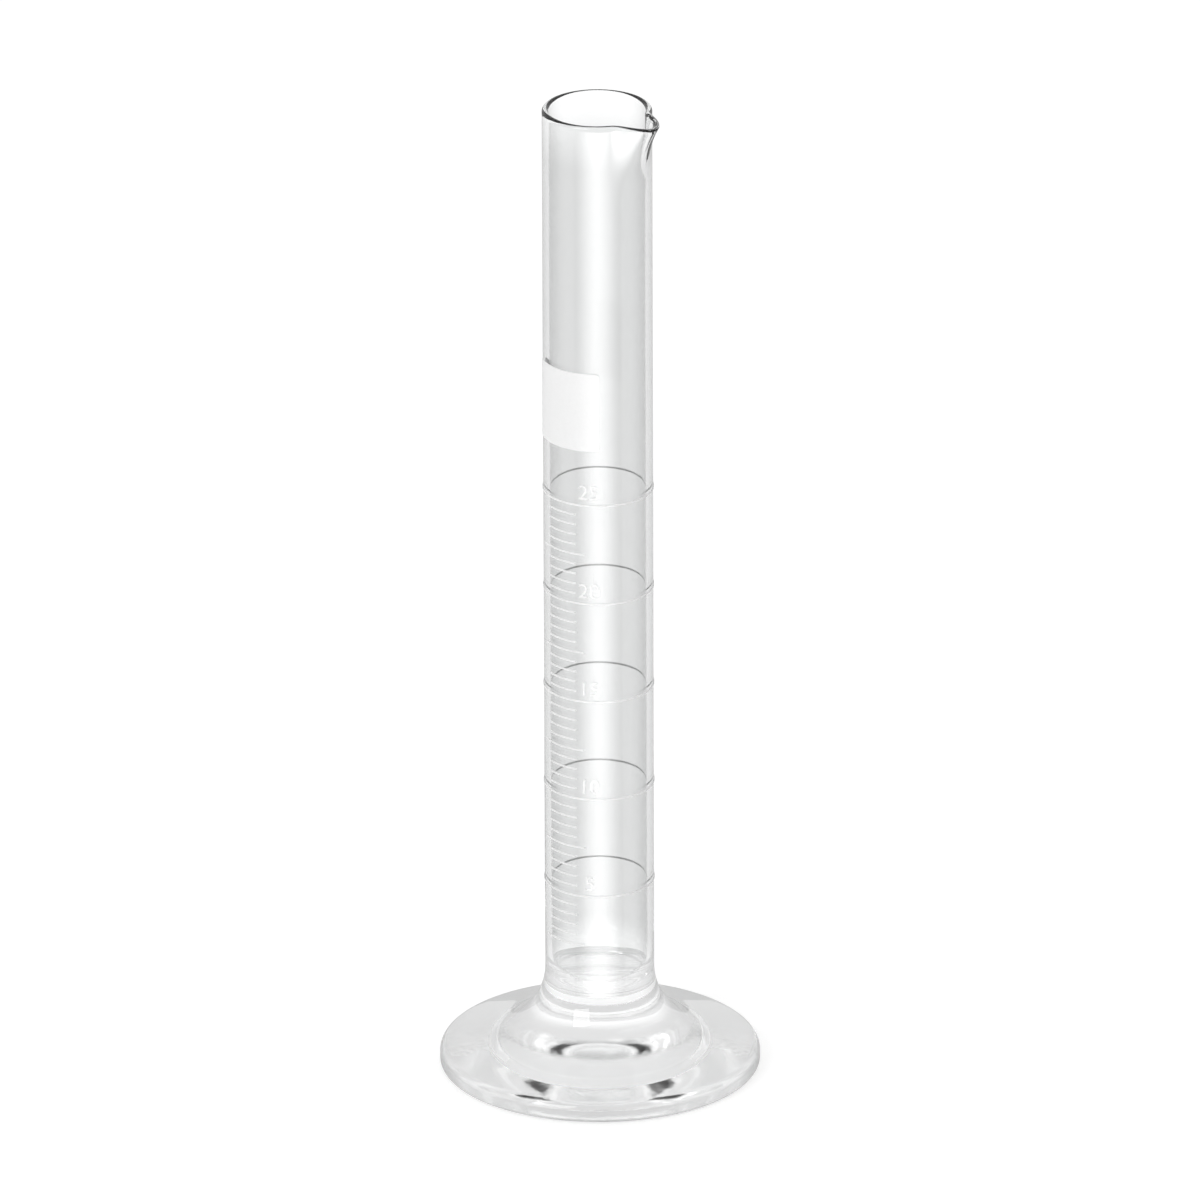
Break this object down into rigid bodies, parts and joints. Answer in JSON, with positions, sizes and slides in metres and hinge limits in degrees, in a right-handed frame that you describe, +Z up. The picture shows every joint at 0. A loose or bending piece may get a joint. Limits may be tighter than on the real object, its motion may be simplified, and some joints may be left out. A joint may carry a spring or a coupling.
{
  "type": "graduated cylinder",
  "caption": "Tall narrow glass measuring cylinder with a pouring spout, white enamel volume lines, a writing panel and a round foot, for measuring liquid volumes.",
  "frame": {"origin": "centre of the base, in the plane that the foot stands on", "axes": "+Z up along the tube, +X towards the spout, -Y towards the side with the scale and the writing panel"},
  "size_m": [0.06, 0.06, 0.191],
  "materials": {
    "clear_glass": "clear, fire-polished",
    "white_enamel": "satin, fired onto the glass"
  },
  "bodies": {
    "root": {"graduated_tube": "clear_glass", "round_foot": "clear_glass", "medium_line_02_5ml": "white_enamel", "short_line_03_0ml": "white_enamel", "short_line_03_5ml": "white_enamel", "short_line_04_0ml": "white_enamel", "short_line_04_5ml": "white_enamel", "ring_line_05_0ml": "white_enamel", "short_line_05_5ml": "white_enamel", "short_line_06_0ml": "white_enamel", "short_line_06_5ml": "white_enamel", "short_line_07_0ml": "white_enamel", "medium_line_07_5ml": "white_enamel", "short_line_08_0ml": "white_enamel", "short_line_08_5ml": "white_enamel", "short_line_09_0ml": "white_enamel", "short_line_09_5ml": "white_enamel", "ring_line_10_0ml": "white_enamel", "short_line_10_5ml": "white_enamel", "short_line_11_0ml": "white_enamel", "short_line_11_5ml": "white_enamel", "short_line_12_0ml": "white_enamel", "medium_line_12_5ml": "white_enamel", "short_line_13_0ml": "white_enamel", "short_line_13_5ml": "white_enamel", "short_line_14_0ml": "white_enamel", "short_line_14_5ml": "white_enamel", "ring_line_15_0ml": "white_enamel", "short_line_15_5ml": "white_enamel", "short_line_16_0ml": "white_enamel", "short_line_16_5ml": "white_enamel", "short_line_17_0ml": "white_enamel", "medium_line_17_5ml": "white_enamel", "short_line_18_0ml": "white_enamel", "short_line_18_5ml": "white_enamel", "short_line_19_0ml": "white_enamel", "short_line_19_5ml": "white_enamel", "ring_line_20_0ml": "white_enamel", "short_line_20_5ml": "white_enamel", "short_line_21_0ml": "white_enamel", "short_line_21_5ml": "white_enamel", "short_line_22_0ml": "white_enamel", "medium_line_22_5ml": "white_enamel", "short_line_23_0ml": "white_enamel", "short_line_23_5ml": "white_enamel", "short_line_24_0ml": "white_enamel", "short_line_24_5ml": "white_enamel", "ring_line_25_0ml": "white_enamel", "writing_panel": "white_enamel"}
  },
  "joints": []
}
